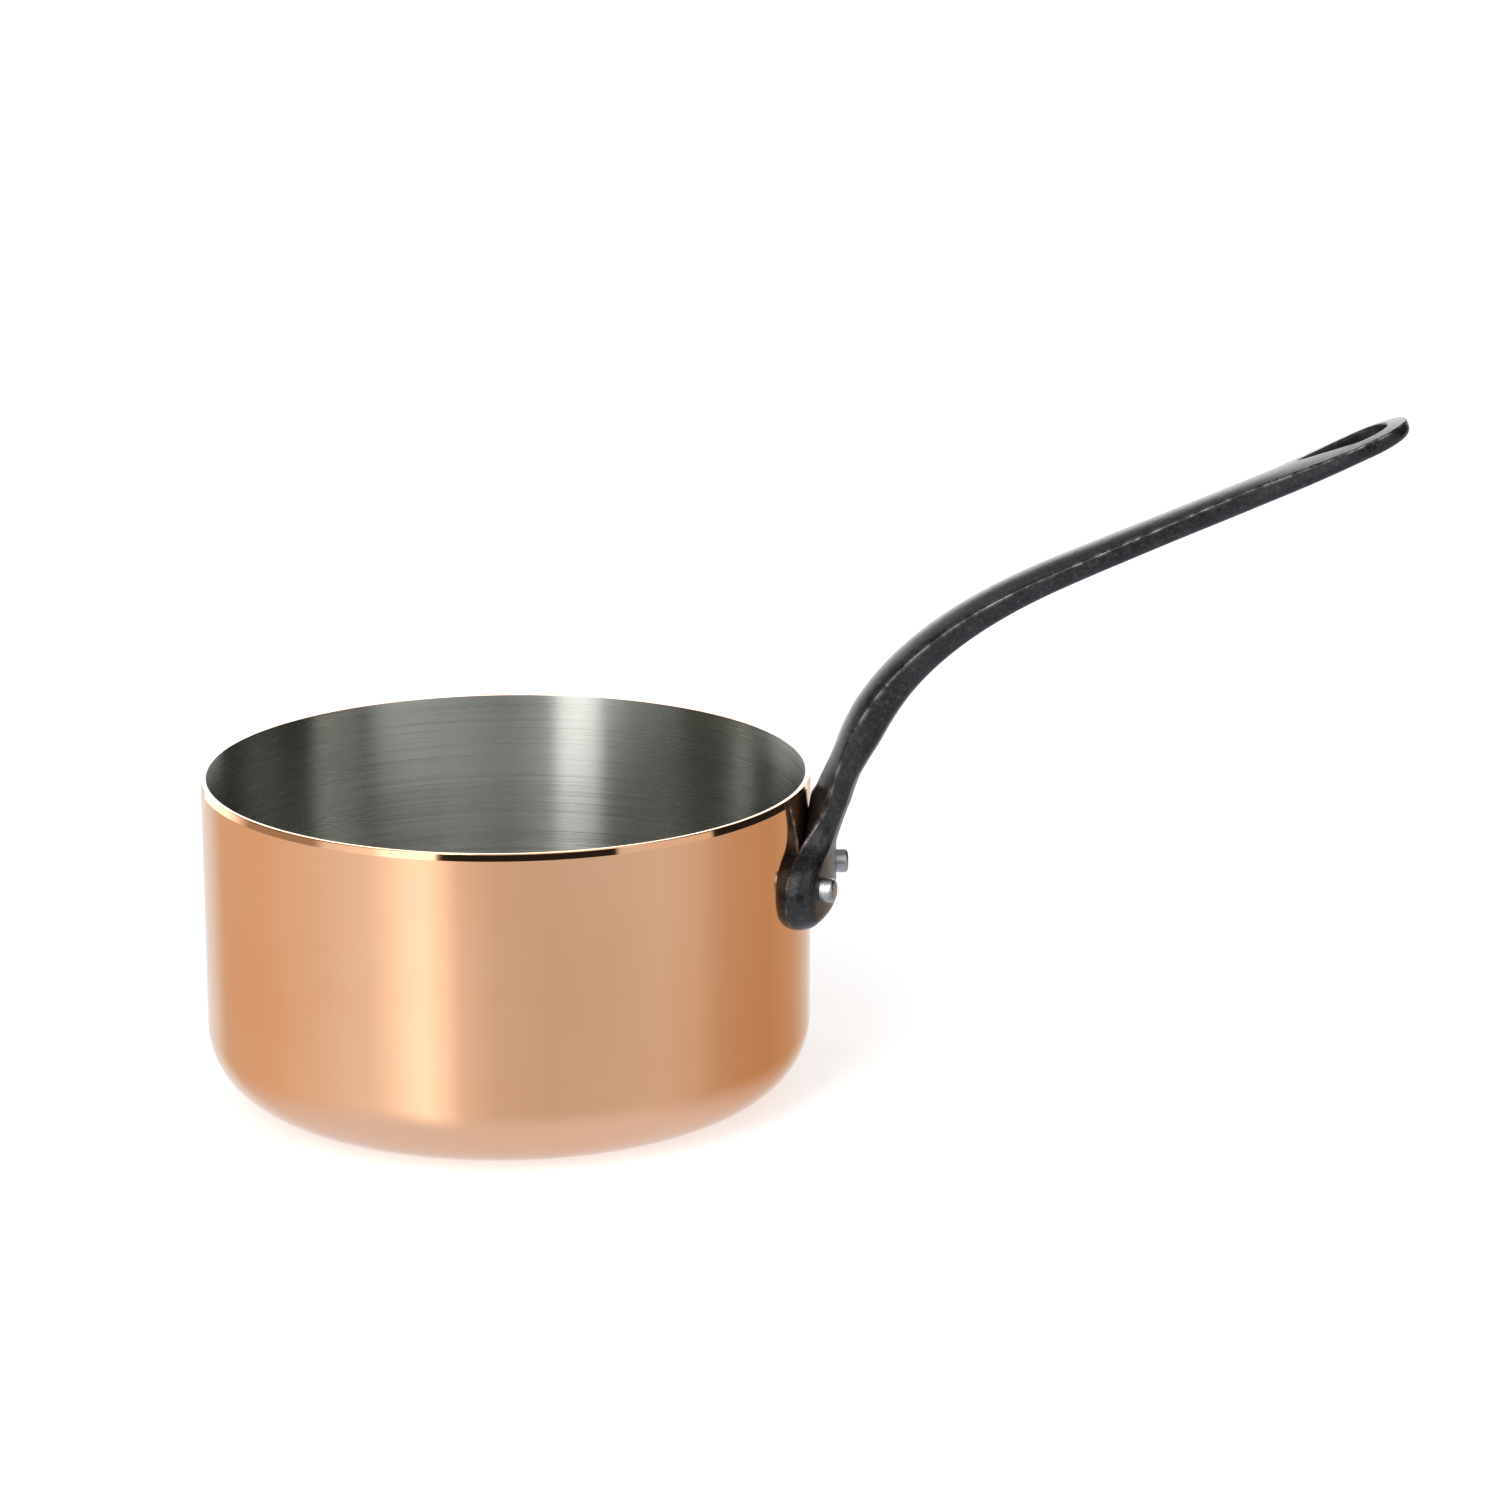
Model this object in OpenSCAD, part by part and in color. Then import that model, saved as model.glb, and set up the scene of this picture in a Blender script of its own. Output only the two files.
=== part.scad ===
// Straight sided saucepan: copper pot with a bonded steel lining, and a cast
// iron handle held by two rivets. Millimetres. The origin is the centre of the
// flat base, +Z is up and the handle points along +X.

/* [Pot] */
// Outside radius of the straight wall
pot_r = 91.6; // [80:0.1:110]
// Outside height from the base to the lip
pot_h = 98; // [90:1:130]
// Outside radius of the round corner between wall and base
corner_r = 21.5; // [12:0.5:30]
// Thickness of the copper
copper_t = 1.3; // [1:0.1:2.5]
// Thickness of the bonded steel lining
lining_t = 0.3; // [0.2:0.1:1]
// Height of the bright chamfer below the lip
chamfer_h = 2.1; // [1:0.1:4]
// Depth of the chamfer at the lip
chamfer_in = 0.35; // [0.1:0.05:0.8]

/* [Wing plate] */
// Half the width of the plate, measured across the handle
wing_w = 25.2; // [24:0.1:30]
// Radius of each round lobe of the plate
lobe_r = 11.2; // [9:0.1:12]
// Depth of the lobes' centres below the lip
lobe_drop = 30.8; // [26:0.2:34]
// Thickness of the plate at its side edges
wing_edge_t = 7.4; // [4:0.1:9]
// Thickness of the plate on the centre line
wing_mid_t = 8; // [7:0.1:10]
// Angle round the lobes where the concave sweep up to the shank starts
lobe_end = 66; // [60:1:72]

/* [Shank] */
// Half width of the shank above the pot
shank_w = 9.6; // [8:0.1:11]
// Half width of the neck just before the eye
neck_w = 8.3; // [7:0.1:10]
// Slope of the straight part of the shank in degrees
shank_slope = 25.1; // [15:0.1:40]
// Distance of the bend's upper end from the pot's axis
bend_end_x = 165; // [150:1:170]
// Height of the bend's upper end above the lip
bend_end_z = 67.8; // [60:0.2:75]
// Radius of the softened lower edges
edge_r = 2.4; // [1:0.1:3]

/* [Hanging eye] */
// Distance of the eye's round end from the pot's axis
eye_x = 251.6; // [240:0.2:265]
// Radius of the eye's round end
eye_r = 8; // [5:0.1:9]
// Distance between the round end's centre and the pointed end
eye_len = 20; // [14:0.5:28]
// Outside radius of the handle's round tip
tip_r = 13.7; // [12:0.1:16]

/* [Rivets] */
// Depth of the rivets' axes below the lip
rivet_drop = 29.2; // [26:0.2:32]
// Angle round the pot between each rivet and the handle's centre line
rivet_angle = 9; // [8:0.1:11]
// Diameter of the rivet's body in its holes
rivet_d = 6; // [5:0.1:6.5]
// Diameter of the set end outside the plate
rivet_end_d = 7.2; // [6.8:0.1:9]
// Distance of the set end's face from the pot's axis
rivet_end_x = 103.1; // [101.5:0.1:105]
// Diameter of the low domed head inside the pot
rivet_head_d = 12; // [10:0.5:14]
// Height of the domed head
rivet_head_h = 1.8; // [1:0.1:3]

/* [Hidden] */
$fn = 120;
over = 1;

wall_t = copper_t + lining_t;
inner_r = pot_r - wall_t;
// The flat spot faces on the plate, under the rivets' set ends
spot_x = 99.2;

// The lobes' centres, and the half width and level where the flare starts. It
// rises to the heel, where the shank's bend starts.
lobe_y = wing_w - lobe_r;
lobe_z = pot_h - lobe_drop;
flare_w = lobe_y + lobe_r * cos(lobe_end);
flare_z = lobe_z + lobe_r * sin(lobe_end);

// The crease is the sharp line between the crowned top and each flank. It
// lies this far inside the wall on the wing plate, so the wall trims it.
tuck = 0.6;
heel_x = pot_r + 6.8;
heel_z = pot_h - 4.6;
heel_slope = 78.7;
heel_reach = 31;
bend_reach = 46.8;
heel_belly = 0.6;

// The flare narrows as a power of the height left to the heel, and starts in
// line with the round lobe
flare_power = tan(lobe_end) * (heel_z - flare_z) / (flare_w - shank_w);

// Radius of the wing plate's side edges, and height of its rounded lower edge
wing_edge_r = 4.5;
lower_round_h = 5;

// How far each ring stands along the shank: the straight part runs from the
// end of the bend to the eye's round end
straight_len = (eye_x - bend_end_x) / cos(shank_slope);
flare_start = 0.62;
tip_round = 3.5;

// Counts of rings and of points round a ring
lobe_steps = 14;
flare_steps = 12;
bend_steps = 24;
straight_steps = 22;
tip_steps = 10;
crown_points = 10;
corner_points = 4;
belly_points = 8;

function mix(a, b, t) = a + (b - a) * t;
function ease(t) = t * t * (3 - 2 * t);

// Cubic curve of the crease through the bend, with its slope
function bend_point(t) =
    let (p0 = [heel_x, heel_z],
         p1 = p0 + heel_reach * [cos(heel_slope), sin(heel_slope)],
         p3 = [bend_end_x, pot_h + bend_end_z],
         p2 = p3 - bend_reach * [cos(shank_slope), sin(shank_slope)],
         u = 1 - t)
    u * u * u * p0 + 3 * u * u * t * p1 + 3 * u * t * t * p2 + t * t * t * p3;
function bend_slope(t) =
    let (d = bend_point(min(1, t + 0.01)) - bend_point(max(0, t - 0.01)))
    atan2(d[1], d[0]);

// Depth of the flank below the crease, and height of the crown above it, from
// the heel at 0 to the bend's upper end at 1 and the eye at 2
function flank(t) =
    lookup(t, [[0, 5.5], [0.1, 6.2], [0.15, 6.9], [0.25, 8], [0.36, 7.9], [0.52, 7.2],
               [1, 5.4], [1.3, 5.4], [1.7, 5.8], [2, 4.5]]);
function crown(t) =
    lookup(t, [[0, 6], [0.03, 5], [0.14, 3.5], [0.25, 3.8], [0.36, 4], [1, 2.8],
               [1.7, 1.3], [2, 1]]);

// One closed ring across the handle: [crease x, crease z, slope, half width,
// crown height, flank depth, belly, edge radius, wrap]. The belly is how much
// deeper the middle is than the edges. Wrap 1 bends the ring round the pot.
function ring(s) =
    let (w = s[3], h = s[4], d = s[5], belly = s[6],
         r = min(s[7], w * 0.6, d * 0.6),
         inner_w = w - r,
         top = [for (i = [0:crown_points])
                let (y = w * (1 - 2 * i / crown_points)) [y, h * (1 - pow(y / w, 2))]],
         left = [for (i = [0:corner_points])
                 let (a = 90 * i / corner_points)
                 [-inner_w - r * cos(a), -(d - r) - r * sin(a)]],
         under = [for (i = [1:belly_points - 1])
                  let (y = inner_w * (2 * i / belly_points - 1))
                  [y, -d - belly * (1 - pow(y / inner_w, 2))]],
         right = [for (i = [corner_points:-1:0])
                  let (a = 90 * i / corner_points)
                  [inner_w + r * cos(a), -(d - r) - r * sin(a)]])
    [for (p = concat(top, left, under, right))
        let (bow = s[8] * (pot_r - sqrt(pot_r * pot_r - p[0] * p[0])))
        [s[0] - p[1] * sin(s[2]) - bow, p[0], s[1] + p[1] * cos(s[2])]];

// Wing plate thickness at a distance y from the centre line
function plate_t(y) = wing_mid_t - (wing_mid_t - wing_edge_t) * pow(y / wing_w, 2);
// Share of the thickness left by the plate's rounded lower edge, z above it. It
// starts just inside the pot's wall, which trims it.
function lower_round(z) =
    z > lower_round_h ? 1 : mix(-0.05, 1, sqrt(1 - pow(1 - max(0, z) / lower_round_h, 2)));

function plate_ring(w, z) =
    let (left = lower_round(z - lobe_z + lobe_r), t = plate_t(w) * left)
    [pot_r - tuck, z, 90, w, 0.3, t + tuck, plate_t(0) * left - t, wing_edge_r, 1];

lobe_rings = [for (i = [0:lobe_steps])
    let (a = mix(-90, lobe_end, i / lobe_steps))
    plate_ring(lobe_y + lobe_r * cos(a), lobe_z + lobe_r * sin(a))];

// The flare lifts the crease off the wall while the wings narrow to the shank.
// The crease ends at the heel's slope, and the outer face bends out to meet it.
flare_rings = [for (i = [1:flare_steps])
    let (t = i / flare_steps,
         z = mix(flare_z, heel_z, t),
         lean = (heel_z - flare_z) / tan(heel_slope),
         x = mix(pot_r - tuck, heel_x, ease(t)) + lean * (t - 1) * t * t,
         w = mix(shank_w, flare_w, pow(1 - t, flare_power)),
         out = pow(t, 1.25),
         outer = mix(pot_r + wing_mid_t, heel_x + flank(0) + heel_belly, out),
         edge = mix(pot_r + plate_t(flare_w), heel_x + flank(0), out))
    [x, z, mix(90, heel_slope, t), w, mix(0.3, crown(0), ease(t)), edge - x, outer - edge,
     mix(wing_edge_r, edge_r, t), 1 - t]];

bend_rings = [for (i = [1:bend_steps])
    let (t = i / bend_steps, p = bend_point(t))
    [p[0], p[1], bend_slope(t), shank_w, crown(t), flank(t), heel_belly, edge_r, 0]];

function straight_w(t) =
    t < flare_start
        ? mix(shank_w, neck_w, ease(t / flare_start))
        : mix(neck_w, tip_r, ease((t - flare_start) / (1 - flare_start)));
straight_rings = [for (i = [1:straight_steps])
    let (t = i / straight_steps, s = straight_len * t)
    [bend_end_x + s * cos(shank_slope), pot_h + bend_end_z + s * sin(shank_slope), shank_slope,
     straight_w(t), crown(1 + t), flank(1 + t), 0.4, edge_r, 0]];

tip_rings = [for (i = [1:tip_steps])
    let (a = 86 * i / tip_steps,
         s = straight_len + tip_r * sin(a),
         left = tip_r * (1 - sin(a)),
         thin = left > tip_round ? 1 : mix(0.3, 1, sqrt(1 - pow(1 - left / tip_round, 2))))
    [bend_end_x + s * cos(shank_slope), pot_h + bend_end_z + s * sin(shank_slope), shank_slope,
     tip_r * cos(a), crown(2) * thin, flank(2) * thin, 0.3, edge_r, 0]];

// Skin over a list of rings, closed at both ends
module skin(rings) {
    n = len(ring(rings[0]));
    last = len(rings) - 1;
    points = [for (r = rings) each ring(r)];
    sides = [for (k = [0:last - 1], i = [0:n - 1])
        let (j = (i + 1) % n, a = k * n + i, b = k * n + j, c = b + n, d = a + n)
        each [[a, b, c], [a, c, d]]];
    ends = [[for (i = [n - 1:-1:0]) i], [for (i = [0:n - 1]) last * n + i]];
    polyhedron(points, concat(sides, ends), convexity = 8);
}

// Half section of a pot with straight wall, round corner and flat base
module pot_section(r, h, corner) {
    square([r - corner, h]);
    translate([0, corner]) square([r, h - corner]);
    intersection() {
        translate([r - corner, corner]) circle(corner);
        square([r, h]);
    }
}

// The copper and the lining are shells between three such sections
module pot_shell(outer_off, inner_off, top) {
    rotate_extrude()
        difference() {
            translate([0, outer_off])
                pot_section(pot_r - outer_off, top - outer_off, corner_r - outer_off);
            translate([0, inner_off])
                pot_section(pot_r - inner_off, top - inner_off + over, corner_r - inner_off);
        }
}

// Places its child at a rivet, with +Z along the rivet's axis out of the pot
module at_rivet(side) {
    rotate([0, 0, side * rivet_angle])
        translate([0, 0, pot_h - rivet_drop])
            rotate([0, 90, 0]) children();
}

module rivet_bores() {
    for (side = [-1, 1])
        at_rivet(side) translate([0, 0, inner_r - 10]) cylinder(h = 40, d = rivet_d);
}

module copper_body() {
    color("#d9946a")
        difference() {
            pot_shell(0, copper_t, pot_h);
            translate([0, 0, pot_h - chamfer_h])
                rotate_extrude()
                    polygon([[pot_r, 0], [pot_r - chamfer_in, chamfer_h],
                             [pot_r - chamfer_in, chamfer_h + over],
                             [pot_r + over, chamfer_h + over], [pot_r + over, 0]]);
            rivet_bores();
        }
}

module steel_lining() {
    color("#8f918c")
        difference() {
            pot_shell(copper_t, wall_t, pot_h);
            rivet_bores();
        }
}

// Teardrop outline of the eye, its round end at the origin
module eye_outline() {
    touch = acos(eye_r / eye_len);
    circle(eye_r);
    polygon([[-eye_len, 0], [-eye_r * cos(touch), -eye_r * sin(touch)], [0, 0],
             [-eye_r * cos(touch), eye_r * sin(touch)]]);
}

module handle() {
    color("#2f3033")
        difference() {
            skin(concat(lobe_rings, flare_rings, bend_rings, straight_rings, tip_rings));
            translate([0, 0, pot_h - 60]) cylinder(h = 60 + 60, r = pot_r, $fn = 360);
            translate([eye_x, 0, pot_h + bend_end_z + straight_len * sin(shank_slope)])
                rotate([0, -shank_slope, 0])
                    translate([0, 0, -20]) linear_extrude(40) eye_outline();
            rivet_bores();
            for (side = [-1, 1])
                at_rivet(side) translate([0, 0, spot_x]) cylinder(h = 20, d = rivet_end_d);
        }
}

// Half outline of the rivet, its axis on x = 0 and its radius along x: the low
// domed head, then the body, and the set end with its bevel and shallow dome
module rivet_head_outline() {
    rim = 0.5;
    dome_h = rivet_head_h - rim;
    dome_r = (pow(rivet_head_d / 2, 2) + pow(dome_h, 2)) / (2 * dome_h);
    intersection() {
        translate([0, inner_r - rivet_head_h + dome_r]) circle(dome_r);
        translate([0, inner_r - 2 * rivet_head_h]) square([rivet_head_d / 2, 3 * rivet_head_h]);
    }
}

module rivet_body_outline() {
    bevel = 0.7;
    end_r = rivet_end_d / 2;
    end_dome_r = 14;
    intersection() {
        union() {
            translate([0, inner_r - rivet_head_h / 2])
                square([rivet_d / 2, spot_x - inner_r + rivet_head_h]);
            polygon([[0, spot_x], [end_r, spot_x], [end_r, rivet_end_x - bevel],
                     [end_r - bevel, rivet_end_x], [0, rivet_end_x]]);
        }
        translate([0, rivet_end_x - end_dome_r]) circle(end_dome_r);
    }
}

// The head's seat is cut to the round of the lining
module rivet(side) {
    color("#9a9b9c") {
        intersection() {
            at_rivet(side) rotate_extrude() rivet_head_outline();
            cylinder(h = pot_h, r = inner_r);
        }
        at_rivet(side) rotate_extrude() rivet_body_outline();
    }
}

module rivet_near() {
    rivet(-1);
}

module rivet_far() {
    rivet(1);
}

copper_body();
steel_lining();
handle();
rivet_near();
rivet_far();
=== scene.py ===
import math

import bmesh
import bpy
from mathutils import Matrix, Vector


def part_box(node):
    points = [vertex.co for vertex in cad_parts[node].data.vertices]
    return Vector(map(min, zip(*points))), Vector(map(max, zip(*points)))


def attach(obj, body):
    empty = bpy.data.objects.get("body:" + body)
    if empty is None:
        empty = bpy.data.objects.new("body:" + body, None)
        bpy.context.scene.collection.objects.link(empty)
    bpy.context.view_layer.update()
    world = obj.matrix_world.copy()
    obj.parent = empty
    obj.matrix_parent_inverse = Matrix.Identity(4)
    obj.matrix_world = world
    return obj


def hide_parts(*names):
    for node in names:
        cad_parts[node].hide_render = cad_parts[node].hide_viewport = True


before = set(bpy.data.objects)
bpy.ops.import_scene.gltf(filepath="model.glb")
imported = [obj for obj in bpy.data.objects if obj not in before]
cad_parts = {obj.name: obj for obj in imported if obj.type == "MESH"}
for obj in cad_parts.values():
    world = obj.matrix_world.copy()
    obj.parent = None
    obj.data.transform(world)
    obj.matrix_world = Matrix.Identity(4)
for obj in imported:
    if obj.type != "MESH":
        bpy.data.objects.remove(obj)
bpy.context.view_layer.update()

# Copper saucepan: a turned pot and its lining, a cast handle and two rivets, in a
# white studio. Pieces are laid out in millimetres, +X along the handle, +Z up.
MM = 0.001

# Pot, in millimetres
POT_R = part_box("copper_body")[1].x / MM
POT_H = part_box("copper_body")[1].z / MM
CORNER_R = 21.5
COPPER_T = 1.3
LINING_T = 0.3
WALL_T = COPPER_T + LINING_T
INNER_R = POT_R - WALL_T
BAND_H = 2.1
BAND_IN = 0.35
LIP_ROUND = 0.22
LINING_LIP_ROUND = 0.14
TURN_STEPS = 288
WRAP_LENGTH = 200

# Handle, in millimetres
WING_W = 25.2
LOBE_R = 11.2
LOBE_Y = WING_W - LOBE_R
LOBE_Z = POT_H - 30.8
LOBE_END = 66
FLARE_W = LOBE_Y + LOBE_R * math.cos(math.radians(LOBE_END))
FLARE_Z = LOBE_Z + LOBE_R * math.sin(math.radians(LOBE_END))
WING_EDGE_T = 7.4
WING_MID_T = 8
WING_EDGE_R = 4.5
LOWER_ROUND_H = 5
LOWER_ROUND_START = -0.05
PLATE_CROWN = 0.3
SHANK_W = 9.6
NECK_W = 8.3
SHANK_SLOPE = 25.1
BEND_END = (165, POT_H + 67.8)
HEEL = (POT_R + 6.8, POT_H - 4.6)
HEEL_SLOPE = 78.7
HEEL_REACH = 31
HEEL_BELLY = 0.6
SHANK_BELLY = 0.4
BEND_REACH = 46.8
FLARE_LIFT = 1.25
FLARE_POWER = math.tan(math.radians(LOBE_END)) * (HEEL[1] - FLARE_Z) / (FLARE_W - SHANK_W)
TUCK = 0.6
EDGE_R = 2.4
CREASE_SOFT = 0.45
EYE_X = 251.6
EYE_R = 8
EYE_LEN = 20
EYE_SOFT = 0.7
TIP_R = 13.7
TIP_EDGE_R = 3.4
FLARE_START = 0.62
PLATE_GAP = 0.02

# Rivets, in millimetres
RIVET_DROP = 29.2
RIVET_ANGLE = 9
RIVET_R = 3
RIVET_END_R = 3.6
RIVET_END_X = 103.1
RIVET_HEAD_R = 6
RIVET_HEAD_H = 1.8
RIVET_BEVEL = 0.75
SPOT_X = 99


# ---------------------------------------------------------------- mesh helpers

def mix(a, b, t):
    return a + (b - a) * t


def ease(t):
    return t * t * (3 - 2 * t)


def fair(t, knots):
    """Smooth curve through (t, value) knots."""
    if t <= knots[0][0]:
        return knots[0][1]
    if t >= knots[-1][0]:
        return knots[-1][1]
    k = max(i for i in range(len(knots) - 1) if knots[i][0] <= t)

    def slope(i):
        a, b = knots[max(i - 1, 0)], knots[min(i + 1, len(knots) - 1)]
        return (b[1] - a[1]) / (b[0] - a[0])

    (t0, v0), (t1, v1) = knots[k], knots[k + 1]
    gap = t1 - t0
    s = (t - t0) / gap
    return ((2 * s ** 3 - 3 * s * s + 1) * v0 + (s ** 3 - 2 * s * s + s) * gap * slope(k)
            + (3 * s * s - 2 * s ** 3) * v1 + (s ** 3 - s * s) * gap * slope(k + 1))


def finished(bm, name, nodes, materials, crisp_deg=40):
    """Turns a bmesh in millimetres into a finished piece that stands for CAD nodes."""
    bmesh.ops.scale(bm, vec=(MM, MM, MM), verts=bm.verts)
    for face in bm.faces:
        face.smooth = True
    for edge in bm.edges:
        if len(edge.link_faces) == 2:
            edge.smooth = edge.calc_face_angle() < math.radians(crisp_deg)
    mesh = bpy.data.meshes.new(name)
    bm.to_mesh(mesh)
    bm.free()
    piece = bpy.data.objects.new(name, mesh)
    bpy.context.collection.objects.link(piece)
    for material in materials:
        mesh.materials.append(material)
    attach(piece, "root")
    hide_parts(*nodes)
    return piece


def profile(bm, corners):
    """Chain of edges through (radius, height, rounding, segments) corners in the XZ plane."""
    verts = [bm.verts.new((c[0], 0, c[1])) for c in corners]
    for a, b in zip(verts, verts[1:]):
        bm.edges.new((a, b))
    for vert, corner in zip(verts, corners):
        if corner[2]:
            bmesh.ops.bevel(bm, geom=[vert], offset=corner[2], offset_type="OFFSET",
                            segments=corner[3], profile=0.5, affect="VERTICES", material=-1)


def turned(corners, steps):
    """Solid of revolution about Z, its normals facing outwards."""
    bm = bmesh.new()
    profile(bm, corners)
    bmesh.ops.spin(bm, geom=bm.verts[:] + bm.edges[:], cent=(0, 0, 0), axis=(0, 0, 1),
                   angle=math.tau, steps=steps, use_merge=True)
    bmesh.ops.remove_doubles(bm, verts=bm.verts, dist=1e-4)
    bmesh.ops.recalc_face_normals(bm, faces=bm.faces)
    return bm


def wrap_uv(bm):
    """UV map named Wrap: U once round the axis, V along the section."""
    layer = bm.loops.layers.uv.new("Wrap")
    for face in bm.faces:
        middle = face.calc_center_median()
        middle_angle = math.atan2(middle.y, middle.x)
        for loop in face.loops:
            co = loop.vert.co
            angle = middle_angle if co.xy.length < 1e-6 else math.atan2(co.y, co.x)
            if angle - middle_angle > math.pi:
                angle -= math.tau
            if middle_angle - angle > math.pi:
                angle += math.tau
            loop[layer].uv = (angle / math.tau, (co.z + co.xy.length) / WRAP_LENGTH)


# ------------------------------------------------------------------- materials

def new_material(name, **sockets):
    """Principled material, its uniform values set on the shader's own sockets."""
    material = bpy.data.materials.new(name)
    material.use_nodes = True
    shader = material.node_tree.nodes["Principled BSDF"]
    for socket, value in sockets.items():
        shader.inputs[socket.replace("_", " ")].default_value = value
    return material, material.node_tree, shader


def add(tree, kind, links=None, **values):
    """New node: values set its properties, links feed its inputs by name or number."""
    node = tree.nodes.new(kind)
    for key, value in values.items():
        setattr(node, key, value)
    for key, source in (links or {}).items():
        socket = node.inputs[key]
        if isinstance(source, bpy.types.NodeSocket):
            tree.links.new(source, socket)
        else:
            socket.default_value = source
    return node


def maths(tree, operation, a, b=0.0, c=0.0, clamp=False):
    node = add(tree, "ShaderNodeMath", {0: a, 1: b, 2: c}, operation=operation, use_clamp=clamp)
    return node.outputs[0]


def mapped(tree, value, low, high, to_low=0.0, to_high=1.0, smooth=True):
    node = add(tree, "ShaderNodeMapRange",
               {"Value": value, "From Min": low, "From Max": high, "To Min": to_low,
                "To Max": to_high},
               interpolation_type="SMOOTHSTEP" if smooth else "LINEAR")
    return node.outputs["Result"]


def mixed(tree, factor, a, b):
    node = tree.nodes.new("ShaderNodeMix")
    node.data_type = "RGBA"
    for socket, source in ((node.inputs[0], factor), (node.inputs[6], a), (node.inputs[7], b)):
        if isinstance(source, bpy.types.NodeSocket):
            tree.links.new(source, socket)
        else:
            socket.default_value = source
    return node.outputs[2]


def noise(tree, vector, scale, detail=3.0, roughness=0.5):
    node = add(tree, "ShaderNodeTexNoise",
               {"Vector": vector, "Scale": scale, "Detail": detail, "Roughness": roughness})
    return node.outputs["Fac"]


def object_coords(tree):
    return tree.nodes.new("ShaderNodeTexCoord").outputs["Object"]


def new_group(name, inputs, outputs):
    """Empty node group. inputs and outputs are (name, socket type, default) and (name, type)."""
    group = bpy.data.node_groups.new(name, "ShaderNodeTree")
    for label, kind, default in inputs:
        socket = group.interface.new_socket(label, in_out="INPUT", socket_type=kind)
        if default is not None:
            socket.default_value = default
    for label, kind in outputs:
        group.interface.new_socket(label, in_out="OUTPUT", socket_type=kind)
    return group, group.nodes.new("NodeGroupInput").outputs, group.nodes.new("NodeGroupOutput")


def turning_lines_group():
    """Fine lines that run round the pot's axis, as the lathe and the brush leave them."""
    group, given, out = new_group(
        "turning lines",
        [("Vector", "NodeSocketVector", None), ("Lines", "NodeSocketFloat", 900.0),
         ("Streaks", "NodeSocketFloat", 12.0), ("Roughness", "NodeSocketFloat", 0.7)],
        [("Fine", "NodeSocketFloat"), ("Broad", "NodeSocketFloat")])
    xyz = add(group, "ShaderNodeSeparateXYZ", {0: given["Vector"]}).outputs
    radius = maths(group, "SQRT", maths(group, "ADD", maths(group, "MULTIPLY", xyz[0], xyz[0]),
                                        maths(group, "MULTIPLY", xyz[1], xyz[1])))
    along = maths(group, "ADD", xyz[2], radius)
    stretched = add(group, "ShaderNodeCombineXYZ", {
        0: maths(group, "MULTIPLY", xyz[0], given["Streaks"]),
        1: maths(group, "MULTIPLY", xyz[1], given["Streaks"]),
        2: maths(group, "MULTIPLY", along, given["Lines"])}).outputs[0]
    fine = add(group, "ShaderNodeTexNoise", {
        "Vector": stretched, "Scale": 1.0, "Detail": 4.0,
        "Roughness": given["Roughness"]}).outputs["Fac"]
    broad = noise(group, add(group, "ShaderNodeVectorMath", {0: stretched, 1: (0.3, 0.3, 0.06)},
                             operation="MULTIPLY").outputs[0], 1.0, 2.0)
    group.links.new(fine, out.inputs["Fine"])
    group.links.new(broad, out.inputs["Broad"])
    return group


def specks_group():
    """Sparse small round specks: 1 on a speck and 0 off it."""
    group, given, out = new_group(
        "specks",
        [("Vector", "NodeSocketVector", None), ("Scale", "NodeSocketFloat", 120.0),
         ("Size", "NodeSocketFloat", 0.04), ("Share", "NodeSocketFloat", 0.1)],
        [("Mask", "NodeSocketFloat")])
    cells = add(group, "ShaderNodeTexVoronoi",
                {"Vector": given["Vector"], "Scale": given["Scale"], "Randomness": 1.0})
    near = maths(group, "LESS_THAN", cells.outputs["Distance"], given["Size"])
    picked = add(group, "ShaderNodeSeparateColor", {0: cells.outputs["Color"]}).outputs[0]
    chosen = maths(group, "LESS_THAN", picked, given["Share"])
    group.links.new(maths(group, "MULTIPLY", near, chosen), out.inputs["Mask"])
    return group


def placed(tree, group, **inputs):
    node = tree.nodes.new("ShaderNodeGroup")
    node.node_tree = group
    for label, source in inputs.items():
        if isinstance(source, bpy.types.NodeSocket):
            tree.links.new(source, node.inputs[label])
        else:
            node.inputs[label].default_value = source
    return node.outputs


def bumped(tree, shader, height, distance, strength=1.0):
    node = add(tree, "ShaderNodeBump", {"Height": height, "Distance": distance,
                                        "Strength": strength})
    tree.links.new(node.outputs[0], shader.inputs["Normal"])


def brushed_round(tree, shader):
    """Turns the stretched gloss of a brushed finish across lines that go round the axis."""
    tangent = add(tree, "ShaderNodeTangent", direction_type="UV_MAP", uv_map="Wrap")
    tree.links.new(tangent.outputs[0], shader.inputs["Tangent"])
    shader.inputs["Anisotropic Rotation"].default_value = 0.25


COPPER = (0.90, 0.53, 0.325, 1)
COPPER_WARM = (0.88, 0.49, 0.285, 1)
COPPER_LINE = (0.70, 0.36, 0.19, 1)
COPPER_SPOT = (0.30, 0.13, 0.07, 1)
STEEL_DARK = (0.41, 0.418, 0.385, 1)
STEEL_LIGHT = (0.47, 0.478, 0.445, 1)
STEEL_DULL = (0.39, 0.40, 0.365, 1)
IRON_DARK = (0.007, 0.0075, 0.0085, 1)
IRON_LIGHT = (0.018, 0.019, 0.021, 1)
IRON_GRAIN = (0.065, 0.066, 0.068, 1)
IRON_PIT = (0.006, 0.006, 0.006, 1)
# Bright iron on the crease: partly rubbed wear, partly a painted highlight of the crease.
IRON_WORN_AND_HIGHLIGHT = (0.16, 0.165, 0.17, 1)
RIVET_DARK = (0.34, 0.34, 0.345, 1)
RIVET_LIGHT = (0.56, 0.56, 0.565, 1)
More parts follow.
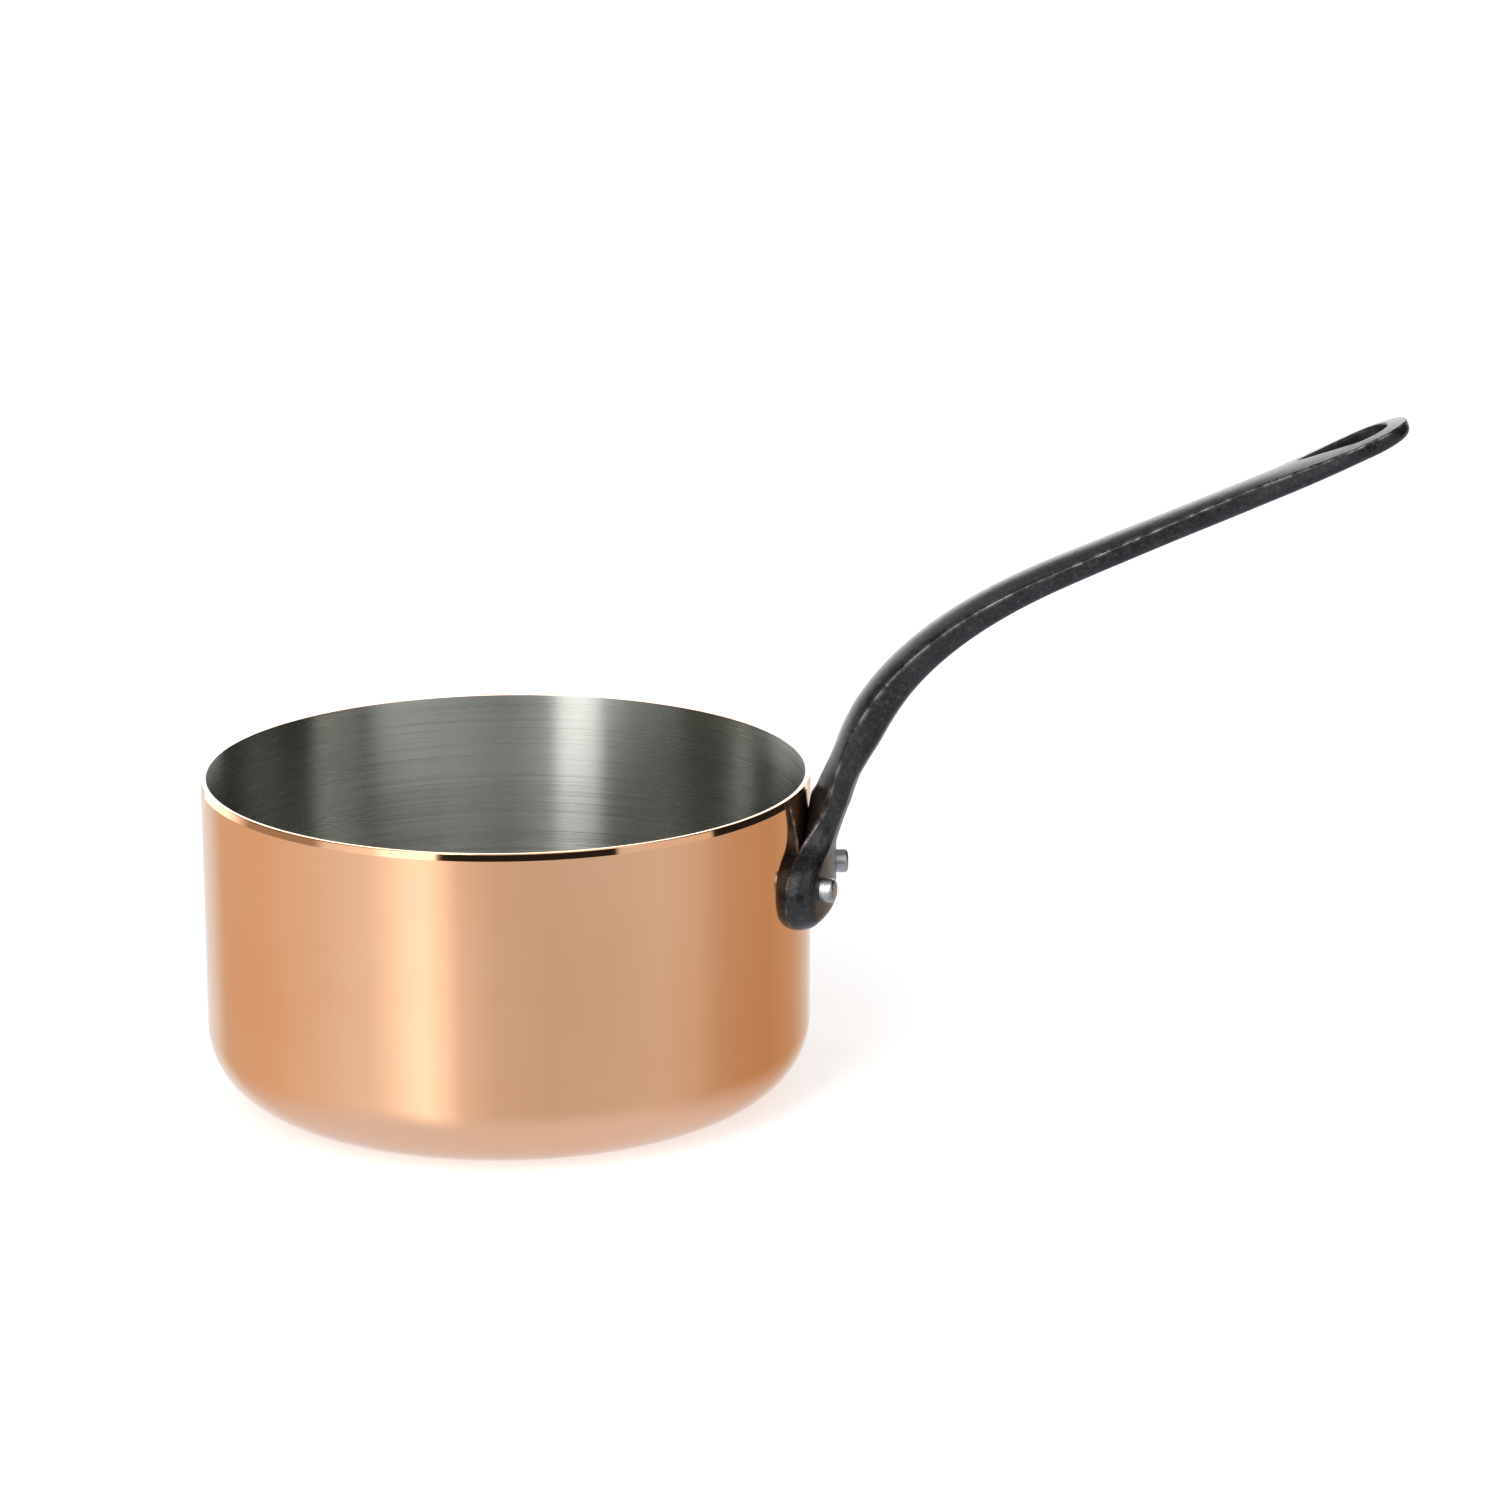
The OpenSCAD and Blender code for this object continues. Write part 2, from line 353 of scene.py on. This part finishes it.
RIVET_SPOT = (0.10, 0.09, 0.08, 1)


def satin_copper(lines, specks):
    """Nearly mirror bright copper with very fine turning lines and a few small spots."""
    material, tree, shader = new_material("satin copper", Metallic=1.0, Anisotropic=0.4)
    brushed_round(tree, shader)
    coords = object_coords(tree)
    marks = placed(tree, lines, Vector=coords, Lines=1500.0, Streaks=9.0)
    cloud = noise(tree, coords, 16.0, 3.0)
    dots = placed(tree, specks, Vector=coords, Scale=160.0, Size=0.05, Share=0.02)["Mask"]
    colour = mixed(tree, mapped(tree, cloud, 0.35, 0.7), COPPER, COPPER_WARM)
    colour = mixed(tree, maths(tree, "MULTIPLY", mapped(tree, marks["Fine"], 0.3, 0.75), 0.04),
                   colour, COPPER_LINE)
    colour = mixed(tree, dots, colour, COPPER_SPOT)
    tree.links.new(colour, shader.inputs["Base Color"])
    rough = maths(tree, "MULTIPLY_ADD", marks["Fine"], 0.02,
                  maths(tree, "MULTIPLY_ADD", cloud, 0.02, 0.055))
    tree.links.new(rough, shader.inputs["Roughness"])
    bumped(tree, shader, marks["Fine"], 0.000002)
    return material


def mirror_copper(lines):
    """The brighter cut of the band and the lip."""
    material, tree, shader = new_material("mirror copper", Metallic=1.0)
    coords = object_coords(tree)
    marks = placed(tree, lines, Vector=coords, Lines=2500.0, Streaks=6.0)
    colour = mixed(tree, mapped(tree, marks["Broad"], 0.3, 0.7), COPPER, COPPER_WARM)
    tree.links.new(colour, shader.inputs["Base Color"])
    tree.links.new(maths(tree, "MULTIPLY_ADD", marks["Fine"], 0.03, 0.04),
                   shader.inputs["Roughness"])
    return material


def brushed_steel(lines):
    """Steel brushed round the pot, so that its gloss is stretched from top to bottom."""
    material, tree, shader = new_material("brushed steel", Metallic=1.0, Anisotropic=1.0)
    brushed_round(tree, shader)
    coords = object_coords(tree)
    marks = placed(tree, lines, Vector=coords, Lines=1800.0, Streaks=6.0)
    streak = mapped(tree, marks["Fine"], 0.3, 0.7)
    colour = mixed(tree, streak, STEEL_DARK, STEEL_LIGHT)
    colour = mixed(tree, maths(tree, "MULTIPLY", mapped(tree, marks["Broad"], 0.35, 0.7), 0.10),
                   colour, STEEL_DULL)
    tree.links.new(colour, shader.inputs["Base Color"])
    tree.links.new(maths(tree, "MULTIPLY_ADD", streak, 0.05, 0.26), shader.inputs["Roughness"])
    bumped(tree, shader, marks["Fine"], 0.000008)
    return material


def cast_iron(specks):
    """Dark cast skin with fine grain and pits; along the crease, bright patches that are partly
    rubbed wear and partly a painted highlight.
    """
    material, tree, shader = new_material("cast iron", Specular_IOR_Level=0.5)
    coords = object_coords(tree)
    grain = noise(tree, coords, 900.0, 4.0, 0.65)
    lumps = noise(tree, coords, 240.0, 3.0, 0.6)
    patches = noise(tree, coords, 55.0, 4.0, 0.6)
    pits = placed(tree, specks, Vector=coords, Scale=420.0, Size=0.16, Share=0.12)["Mask"]
    # Crease mask from the handle's mesh: rubbed wear and a painted highlight, broken up by
    # lumps.
    crease_wear_and_highlight = add(tree, "ShaderNodeAttribute", attribute_name="crease_wear_and_highlight").outputs["Fac"]
    worn_and_highlit = maths(tree, "MULTIPLY", crease_wear_and_highlight, mapped(tree, lumps, 0.42, 0.62), clamp=True)
    colour = mixed(tree, mapped(tree, patches, 0.35, 0.7), IRON_DARK, IRON_LIGHT)
    colour = mixed(tree, maths(tree, "MULTIPLY", mapped(tree, grain, 0.45, 0.75), 0.6),
                   colour, IRON_GRAIN)
    colour = mixed(tree, pits, colour, IRON_PIT)
    colour = mixed(tree, worn_and_highlit, colour, IRON_WORN_AND_HIGHLIGHT)
    tree.links.new(colour, shader.inputs["Base Color"])
    tree.links.new(maths(tree, "MULTIPLY_ADD", worn_and_highlit, 0.45, 0.35, clamp=True),
                   shader.inputs["Metallic"])
    tree.links.new(maths(tree, "MULTIPLY_ADD", grain, 0.22,
                         maths(tree, "MULTIPLY_ADD", worn_and_highlit, -0.10, 0.20)),
                   shader.inputs["Roughness"])
    height = maths(tree, "ADD", maths(tree, "MULTIPLY", grain, 0.5),
                   maths(tree, "SUBTRACT", lumps, maths(tree, "MULTIPLY", pits, 0.5)))
    bumped(tree, shader, height, 0.0001)
    return material


def rivet_steel(specks):
    """Dull steel with smudges and small dark spots."""
    material, tree, shader = new_material("rivet steel", Metallic=1.0)
    coords = object_coords(tree)
    grain = noise(tree, coords, 1500.0, 3.0)
    smudge = noise(tree, coords, 260.0, 3.0)
    dots = placed(tree, specks, Vector=coords, Scale=900.0, Size=0.2, Share=0.15)["Mask"]
    colour = mixed(tree, mapped(tree, smudge, 0.3, 0.7), RIVET_DARK, RIVET_LIGHT)
    colour = mixed(tree, dots, colour, RIVET_SPOT)
    tree.links.new(colour, shader.inputs["Base Color"])
    tree.links.new(maths(tree, "MULTIPLY_ADD", grain, 0.25, 0.25), shader.inputs["Roughness"])
    bumped(tree, shader, grain, 0.00004)
    return material


# ---------------------------------------------------------------------- pieces

def copper_pot(satin, mirror):
    """Copper shell with its round corner, bright band and softened lip."""
    inner = POT_R - COPPER_T
    bm = turned([
        (0, 0, 0, 0),
        (POT_R, 0, CORNER_R, 28),
        (POT_R, POT_H - BAND_H, 0, 0),
        (POT_R - BAND_IN, POT_H, LIP_ROUND, 4),
        (inner, POT_H, 0, 0),
        (inner, COPPER_T, CORNER_R - COPPER_T, 20),
        (0, COPPER_T, 0, 0)], TURN_STEPS)
    wrap_uv(bm)
    for face in bm.faces:
        middle = face.calc_center_median()
        if middle.z > POT_H - BAND_H and middle.xy.length > inner + 0.01:
            face.material_index = 1
    return finished(bm, "copper_pot", ["copper_body"], [satin, mirror], crisp_deg=5)


def lining(steel):
    """Thin steel lining bonded inside the copper, its upper edge level with the lip."""
    outer = POT_R - COPPER_T
    bm = turned([
        (0, COPPER_T, 0, 0),
        (outer, COPPER_T, CORNER_R - COPPER_T, 20),
        (outer, POT_H, 0, 0),
        (INNER_R, POT_H, LINING_LIP_ROUND, 3),
        (INNER_R, WALL_T, CORNER_R - WALL_T, 24),
        (0, WALL_T, 0, 0)], TURN_STEPS)
    wrap_uv(bm)
    return finished(bm, "steel_pot_lining", ["steel_lining"], [steel])


def bend_point(t):
    """Point of the crease along the bend, as (x, z)."""
    p0, p3 = HEEL, BEND_END
    a, b = math.radians(HEEL_SLOPE), math.radians(SHANK_SLOPE)
    p1 = (p0[0] + HEEL_REACH * math.cos(a), p0[1] + HEEL_REACH * math.sin(a))
    p2 = (p3[0] - BEND_REACH * math.cos(b), p3[1] - BEND_REACH * math.sin(b))
    u = 1 - t
    return tuple(u ** 3 * p0[i] + 3 * u * u * t * p1[i] + 3 * u * t * t * p2[i] + t ** 3 * p3[i]
                 for i in (0, 1))


def bend_slope(t):
    a, b = bend_point(max(0, t - 0.01)), bend_point(min(1, t + 0.01))
    return math.degrees(math.atan2(b[1] - a[1], b[0] - a[0]))


FLANK = [(0, 5.5), (0.1, 6.2), (0.15, 6.9), (0.25, 8), (0.36, 7.9), (0.52, 7.2), (1, 5.4),
         (1.3, 5.4), (1.7, 5.8), (2, 4.5)]
CROWN = [(0, 6), (0.03, 5), (0.14, 3.5), (0.25, 3.8), (0.36, 4), (1, 2.8), (1.7, 1.3), (2, 1)]


def half_section(w, y_in, crown, depth, belly, edge_r, soft=0.0):
    """Half section from the top, out over the crease, down the flank and back below.

    Gives (y, height, crease mark) points, y from y_in, or soft beyond it, to the half width w.
    The crease mark is 1 on the crease, where the iron gets wear and a painted highlight.
    """
    r = min(edge_r, w * 0.6, depth * 0.6)
    inner_w = w - r
    start = y_in + soft
    c = min(CREASE_SOFT, (w - start) * 0.3, depth * 0.2)

    def top(y):
        return crown * (1 - (y / w) ** 2)

    def below(y):
        return -depth - belly * (1 - min(1, y / inner_w) ** 2)

    points = [(mix(start, w - c, i / 18), top(mix(start, w - c, i / 18)), 0) for i in range(18)]
    a, b = (w - c, top(w - c)), (w, -c)
    # The crease points carry 1 in the third place: wear and a painted highlight go there.
    for i in range(5):
        t = i / 4
        points.append(((1 - t) ** 2 * a[0] + 2 * t * (1 - t) * w + t * t * b[0],
                       (1 - t) ** 2 * a[1] + t * t * b[1], 1))
    for i in range(1, 5):
        points.append((w, mix(-c, -(depth - r), i / 5), 0))
    for i in range(9):
        turn = math.radians(90 * i / 8)
        points.append((inner_w + r * math.cos(turn), -(depth - r) - r * math.sin(turn), 0))
    for i in range(1, 13):
        y = mix(max(inner_w, start), start, i / 12)
        points.append((y, below(y), 0))
    return points


def handle_rows():
    """Rows of (point, crease mark) along half of the handle, from the wing plate to the tip; the
    crease mark places wear and a painted highlight on the crease.

    Also gives the rows of the eye's wall, which start where the eye begins.
    """
    rows, wall_rows = [], []

    def row(x, z, slope, section, wrap=0.0):
        c, s = math.cos(math.radians(slope)), math.sin(math.radians(slope))
        placed_points = []
        for y, h, crease_wear_and_highlight in section:
            bow = wrap * (POT_R - math.sqrt(POT_R ** 2 - y * y))
            point = Vector((x - h * s - bow, y, z + h * c))
            away = point.xy.length
            if away < POT_R + PLATE_GAP:
                point.xy *= (POT_R + PLATE_GAP) / away
            placed_points.append((point, crease_wear_and_highlight))
        rows.append(placed_points)

    def plate_t(y):
        return WING_MID_T - (WING_MID_T - WING_EDGE_T) * (y / WING_W) ** 2

    lobe_steps = 40
    for i in range(lobe_steps + 1):
        a = math.radians(mix(-90, LOBE_END, i / lobe_steps))
        w, up = LOBE_Y + LOBE_R * math.cos(a), LOBE_R * (1 + math.sin(a))
        left = 1 if up > LOWER_ROUND_H else mix(
            LOWER_ROUND_START, 1, math.sqrt(1 - (1 - max(0, up) / LOWER_ROUND_H) ** 2))
        t = plate_t(w) * left
        row(POT_R - TUCK, LOBE_Z - LOBE_R + up, 90,
            half_section(w, 0, PLATE_CROWN, t + TUCK, plate_t(0) * left - t, WING_EDGE_R), 1)

    flare_steps = 60
    lean = (HEEL[1] - FLARE_Z) / math.tan(math.radians(HEEL_SLOPE))
    for i in range(1, flare_steps + 1):
        t = i / flare_steps
        out = t ** FLARE_LIFT
        x = mix(POT_R - TUCK, HEEL[0], ease(t)) + lean * (t - 1) * t * t
        edge = mix(POT_R + plate_t(FLARE_W), HEEL[0] + FLANK[0][1], out)
        outer = mix(POT_R + WING_MID_T, HEEL[0] + FLANK[0][1] + HEEL_BELLY, out)
        w = mix(SHANK_W, FLARE_W, (1 - t) ** FLARE_POWER)
        row(x, mix(FLARE_Z, HEEL[1], t), mix(90, HEEL_SLOPE, t),
            half_section(w, 0, mix(PLATE_CROWN, CROWN[0][1], ease(t)), edge - x, outer - edge,
                         mix(WING_EDGE_R, EDGE_R, t)), 1 - t)

    bend_steps = 110
    for i in range(1, bend_steps + 1):
        t = i / bend_steps
        x, z = bend_point(t)
        row(x, z, bend_slope(t),
            half_section(SHANK_W, 0, fair(t, CROWN), fair(t, FLANK), HEEL_BELLY, EDGE_R))

    slope = math.radians(SHANK_SLOPE)
    eye_s = (EYE_X - BEND_END[0]) / math.cos(slope)

    def straight_w(t):
        if t < FLARE_START:
            return mix(SHANK_W, NECK_W, ease(t / FLARE_START))
        return mix(NECK_W, TIP_R, ease((t - FLARE_START) / (1 - FLARE_START)))

    def straight_row(s, y_in=0.0, soft=0.0):
        t = s / eye_s
        section = half_section(straight_w(t), y_in, fair(1 + t, CROWN), fair(1 + t, FLANK),
                               SHANK_BELLY, EDGE_R, soft)
        row(BEND_END[0] + s * math.cos(slope), BEND_END[1] + s * math.sin(slope),
            SHANK_SLOPE, section)

    def wall_row(s, turn, y_in, top, bottom, soft):
        """Wall of the eye at one section, from below up. turn is the section's direction."""
        wall = []
        for i in range(5):
            a = math.radians(90 * i / 4)
            wall.append((y_in + soft * (1 - math.sin(a)), bottom + soft * (1 - math.cos(a))))
        for i in range(1, 6):
            wall.append((y_in, mix(bottom + soft, top - soft, i / 6)))
        for i in range(5):
            a = math.radians(90 * i / 4)
            wall.append((y_in + soft * (1 - math.cos(a)), top - soft * (1 - math.sin(a))))
        wall_rows.append([(on_shank(s, turn, away, h), 0) for away, h in wall])

    def on_shank(s, turn, away, h):
        """Point at a distance away from (s, 0) in the shank's plane, h above it."""
        along = s + away * math.cos(turn)
        return Vector((BEND_END[0] + along * math.cos(slope) - h * math.sin(slope),
                       away * math.sin(turn),
                       BEND_END[1] + along * math.sin(slope) + h * math.cos(slope)))

    eye_start = eye_s - EYE_LEN
    side = math.radians(90)
    touch = math.acos(EYE_R / EYE_LEN)
    straight_steps = 90
    for i in range(1, straight_steps + 1):
        straight_row(eye_start * i / straight_steps)
    touch_s = eye_s - EYE_R * math.cos(touch)
    eye_rows = [(mix(eye_start, touch_s, i / 26),
                 (mix(eye_start, touch_s, i / 26) - eye_start) / math.tan(touch))
                for i in range(27)]
    for i in range(1, 9):
        a = mix(math.pi - touch, side, i / 8)
        eye_rows.append((eye_s + EYE_R * math.cos(a), EYE_R * math.sin(a)))
    for k, (s, y_in) in enumerate(eye_rows):
        t = s / eye_s
        soft = min(EYE_SOFT, y_in * 0.5)
        w, crown, depth = straight_w(t), fair(1 + t, CROWN), fair(1 + t, FLANK)
        if k:
            straight_row(s, y_in, soft)
        r = min(EDGE_R, depth * 0.6)
        start = y_in + soft
        wall_row(s, side, y_in, crown * (1 - (start / w) ** 2),
                 -depth - SHANK_BELLY * (1 - (start / (w - r)) ** 2), soft)
    tip_turns = 36
    for i in range(1, tip_turns + 1):
        turn = side * (1 - i / tip_turns)
        crown, depth = CROWN[-1][1], FLANK[-1][1]
        edge_r = mix(EDGE_R, TIP_EDGE_R, ease(i / tip_turns))
        section = half_section(TIP_R, EYE_R, crown, depth, SHANK_BELLY, edge_r, EYE_SOFT)
        rows.append([(on_shank(eye_s, turn, y, h), crease_wear_and_highlight) for y, h, crease_wear_and_highlight in section])
        r = min(edge_r, depth * 0.6)
        start = EYE_R + EYE_SOFT
        wall_row(eye_s, turn, EYE_R, crown * (1 - (start / TIP_R) ** 2),
                 -depth - SHANK_BELLY * (1 - (start / (TIP_R - r)) ** 2), EYE_SOFT)
    return rows, wall_rows


def laid_grid(bm, crease_wear_and_highlight_layer, rows):
    """Adds a grid whose vertices lie on the rows' points."""
    across, along = len(rows[0]) - 1, len(rows) - 1
    made = bmesh.ops.create_grid(bm, x_segments=across, y_segments=along, size=0.5)["verts"]
    for vert in made:
        point, crease_wear_and_highlight = rows[round((vert.co.y + 0.5) * along)][round((vert.co.x + 0.5) * across)]
        vert.co = point
        vert[crease_wear_and_highlight_layer] = crease_wear_and_highlight


def handle(iron):
    """Cast handle: one half is laid out, then mirrored across the middle plane."""
    bm = bmesh.new()
    # Mesh attribute for the crease's wear and painted highlight.
    crease_wear_and_highlight_layer = bm.verts.layers.float.new("crease_wear_and_highlight")
    rows, wall_rows = handle_rows()
    laid_grid(bm, crease_wear_and_highlight_layer, rows)
    laid_grid(bm, crease_wear_and_highlight_layer, wall_rows)
    bmesh.ops.mirror(bm, geom=bm.verts[:] + bm.edges[:] + bm.faces[:], matrix=Matrix.Identity(4),
                     merge_dist=1e-3, axis="Y")
    bmesh.ops.remove_doubles(bm, verts=bm.verts, dist=2e-3)
    bmesh.ops.dissolve_degenerate(bm, edges=bm.edges, dist=1e-4)
    bmesh.ops.holes_fill(bm, edges=[e for e in bm.edges if e.is_boundary], sides=0)
    bmesh.ops.recalc_face_normals(bm, faces=bm.faces)
    return finished(bm, "cast_handle", ["handle"], [iron], crisp_deg=50)


def rivet(name, side, steel):
    """Rivet with a low domed head inside the pot and a bevelled set end outside."""
    base_x = INNER_R + 0.15
    bm = turned([
        (0, INNER_R - RIVET_HEAD_H, 0, 0),
        (RIVET_HEAD_R * 0.62, INNER_R - RIVET_HEAD_H, RIVET_HEAD_R * 0.5, 8),
        (RIVET_HEAD_R, INNER_R - 0.45, 0.35, 4),
        (RIVET_HEAD_R, base_x, 0, 0),
        (RIVET_R, base_x, 0, 0),
        (RIVET_R, SPOT_X, 0, 0),
        (RIVET_END_R, SPOT_X, 0, 0),
        (RIVET_END_R, RIVET_END_X - RIVET_BEVEL, 0.25, 3),
        (RIVET_END_R - RIVET_BEVEL, RIVET_END_X - 0.1, 0.4, 4),
        (0, RIVET_END_X, 0, 0)], 72)
    place = (Matrix.Rotation(math.radians(side * RIVET_ANGLE), 4, "Z")
             @ Matrix.Translation((0, 0, POT_H - RIVET_DROP))
             @ Matrix.Rotation(math.radians(90), 4, "Y"))
    bmesh.ops.transform(bm, matrix=place, verts=bm.verts)
    node = "rivet_near" if side < 0 else "rivet_far"
    return finished(bm, name, [node], [steel], crisp_deg=35)


# ---------------------------------------------------------------------- studio

# The side of the pot that faces the camera
CAMERA_AZIMUTH = math.radians(-78.8)


def camera():
    data = bpy.data.cameras.new("camera")
    data.lens = 108
    data.sensor_width = 36
    data.clip_end = 60
    made = bpy.data.objects.new("camera", data)
    made.location = (0.2545, -1.2843, 0.4547)
    made.rotation_euler = (math.radians(74.98), 0, math.radians(8))
    bpy.context.collection.objects.link(made)
    bpy.context.scene.camera = made


def ramp(tree, value, stops):
    """Colour ramp over degrees from the camera's side, from -180 to 180."""
    node = add(tree, "ShaderNodeValToRGB", {0: value})
    points = node.color_ramp.elements
    while len(points) > 1:
        points.remove(points[0])
    for k, (degrees, level, tint) in enumerate(stops):
        place = degrees / 360 + 0.5
        point = points[0] if k == 0 else points.new(place)
        point.position = place
        point.color = (*(level / BRIGHTEST * part for part in tint), 1)
    return add(tree, "ShaderNodeVectorMath", {0: node.outputs[0], 1: (BRIGHTEST,) * 3},
               operation="MULTIPLY").outputs[0]


# The ramps hold (degrees, level, tint) stops, their levels as shares of the brightest
BRIGHTEST = 8
WHITE = (1, 1, 1)
WARM_LEFT = (1, 0.80, 0.62)
FLOOR_HALF_WIDTH = 12
FLOOR_GAP = 0.0003


def studio():
    """White studio: table, softboxes and dark cards as the light that the metal mirrors."""
    world = bpy.data.worlds.new("studio")
    bpy.context.scene.world = world
    world.use_nodes = True
    tree = world.node_tree
    tree.nodes.clear()
    direction = add(tree, "ShaderNodeTexCoord").outputs["Generated"]
    xyz = add(tree, "ShaderNodeSeparateXYZ", {0: direction}).outputs
    azimuth = maths(tree, "ARCTAN2", xyz[1], xyz[0])
    turn = maths(tree, "FRACT", maths(tree, "MULTIPLY_ADD", azimuth, 1 / math.tau,
                                      0.5 - CAMERA_AZIMUTH / math.tau))
    table = ramp(tree, turn, [
        (-180, 0.95, WHITE), (-150, 0.84, WHITE), (-136, 0.72, WARM_LEFT),
        (-107, 0.78, WARM_LEFT), (-78, 0.83, (1, 0.93, 0.86)), (-62, 0.88, WHITE),
        (-54, 0.92, WHITE), (-46, 1.10, WHITE), (-39, 1.36, WHITE), (-32, 1.50, WHITE),
        (-25, 1.22, WHITE), (-18, 0.86, WHITE), (-5, 0.71, WHITE), (16, 0.66, WHITE),
        (37, 0.68, WHITE), (59, 0.72, WHITE), (75, 0.70, (1, 0.92, 0.82)),
        (84, 0.62, (1, 0.85, 0.70)), (93, 0.60, (1, 0.78, 0.57)), (116, 0.57, (1, 0.71, 0.43)),
        (137, 0.62, (1, 0.76, 0.52)), (160, 0.75, WHITE), (180, 0.95, WHITE)])
    horizon = ramp(tree, turn, [
        (-180, 2.4, WHITE), (-150, 2.2, WHITE), (-125, 1.8, WHITE), (-110, 0.40, WARM_LEFT),
        (-75, 0.40, WARM_LEFT), (-70, 0.9, WHITE), (-50, 1.2, WHITE), (-44, 2.2, WHITE),
        (-27, 2.2, WHITE), (-25, 0.02, WHITE), (40, 0.02, WHITE), (41, 0.8, WHITE),
        (80, 0.8, (1, 0.9, 0.8)), (81, 0.02, WHITE), (140, 0.02, WHITE), (142, 1.0, WHITE),
        (155, 2.0, WHITE), (180, 2.2, WHITE)])
    softboxes = ramp(tree, turn, [
        (-180, 2.6, WHITE), (-150, 2.6, WHITE), (-134, 2.0, WHITE), (-127, 0.0, WHITE),
        (-104, 0.0, WHITE), (-103, 0.10, WHITE), (-95, 0.10, WHITE), (-93, 0.0, WHITE),
        (-75, 0.0, WHITE), (-63, 0.28, WHITE), (-55, 0.60, WHITE), (-42, 1.15, WHITE),
        (-39, 1.6, WHITE), (-37, 5.2, WHITE), (-22, 5.6, WHITE), (-19, 1.2, WHITE),
        (-12, 0.95, WHITE), (0, 0.78, WHITE), (22, 1.10, WHITE), (36, 1.80, WHITE),
        (50, 1.45, WHITE), (60, 0.8, WHITE), (65, 0.7, WHITE), (72, 0.25, WHITE),
        (78, 0.05, WHITE), (90, 0.0, WHITE), (144, 0.0, WHITE), (154, 2.4, WHITE),
        (180, 2.6, WHITE)])
    # Upwards: the table, the horizon, the softboxes, and the dim ceiling
    up = xyz[2]
    light = mixed(tree, mapped(tree, up, -0.22, -0.18), table, horizon)
    light = mixed(tree, mapped(tree, up, 0.10, 0.16), light, softboxes)
    # Behind the pot the light stays low, and below it the table turns pale
    behind = mapped(tree, maths(tree, "ABSOLUTE", maths(tree, "SUBTRACT", turn, 0.5)),
                    0.37, 0.40)
    light = mixed(tree, maths(tree, "MULTIPLY", behind, mapped(tree, up, 0.34, 0.48)),
                  light, (0.25, 0.25, 0.25, 1))
    light = mixed(tree, mapped(tree, up, 0.90, 0.97), light, (0.5, 0.5, 0.5, 1))
    light = mixed(tree, mapped(tree, up, -0.38, -0.85), light, (0.80, 0.85, 0.97, 1))
    seen = add(tree, "ShaderNodeLightPath").outputs["Is Camera Ray"]
    light = mixed(tree, seen, light, (0.97, 0.97, 0.97, 1))
    background = add(tree, "ShaderNodeBackground", {"Color": light, "Strength": 1.0})
    output = add(tree, "ShaderNodeOutputWorld")
    tree.links.new(background.outputs[0], output.inputs[0])


def floor():
    """Plain pale floor just below the pot's base, left out of the metal's reflections."""
    bm = bmesh.new()
    bmesh.ops.create_grid(bm, x_segments=1, y_segments=1, size=FLOOR_HALF_WIDTH)
    bmesh.ops.translate(bm, vec=(0, 0, -FLOOR_GAP), verts=bm.verts)
    mesh = bpy.data.meshes.new("pale_floor")
    bm.to_mesh(mesh)
    bm.free()
    made = bpy.data.objects.new("pale_floor", mesh)
    bpy.context.collection.objects.link(made)
    material, tree, shader = new_material("pale floor", Roughness=0.9)
    shader.inputs["Base Color"].default_value = (0.82, 0.82, 0.82, 1)
    shader.inputs["Specular IOR Level"].default_value = 0.0
    shader.inputs["Emission Color"].default_value = (1, 1, 1, 1)
    shader.inputs["Emission Strength"].default_value = 0.53
    mesh.materials.append(material)
    made.visible_glossy = False


def build():
    lines, specks = turning_lines_group(), specks_group()
    satin, mirror = satin_copper(lines, specks), mirror_copper(lines)
    copper_pot(satin, mirror)
    lining(brushed_steel(lines))
    handle(cast_iron(specks))
    steel = rivet_steel(specks)
    rivet("rivet_near_side", -1, steel)
    rivet("rivet_far_side", 1, steel)
    floor()
    studio()
    camera()
    bpy.context.scene.view_settings.view_transform = "Standard"


build()
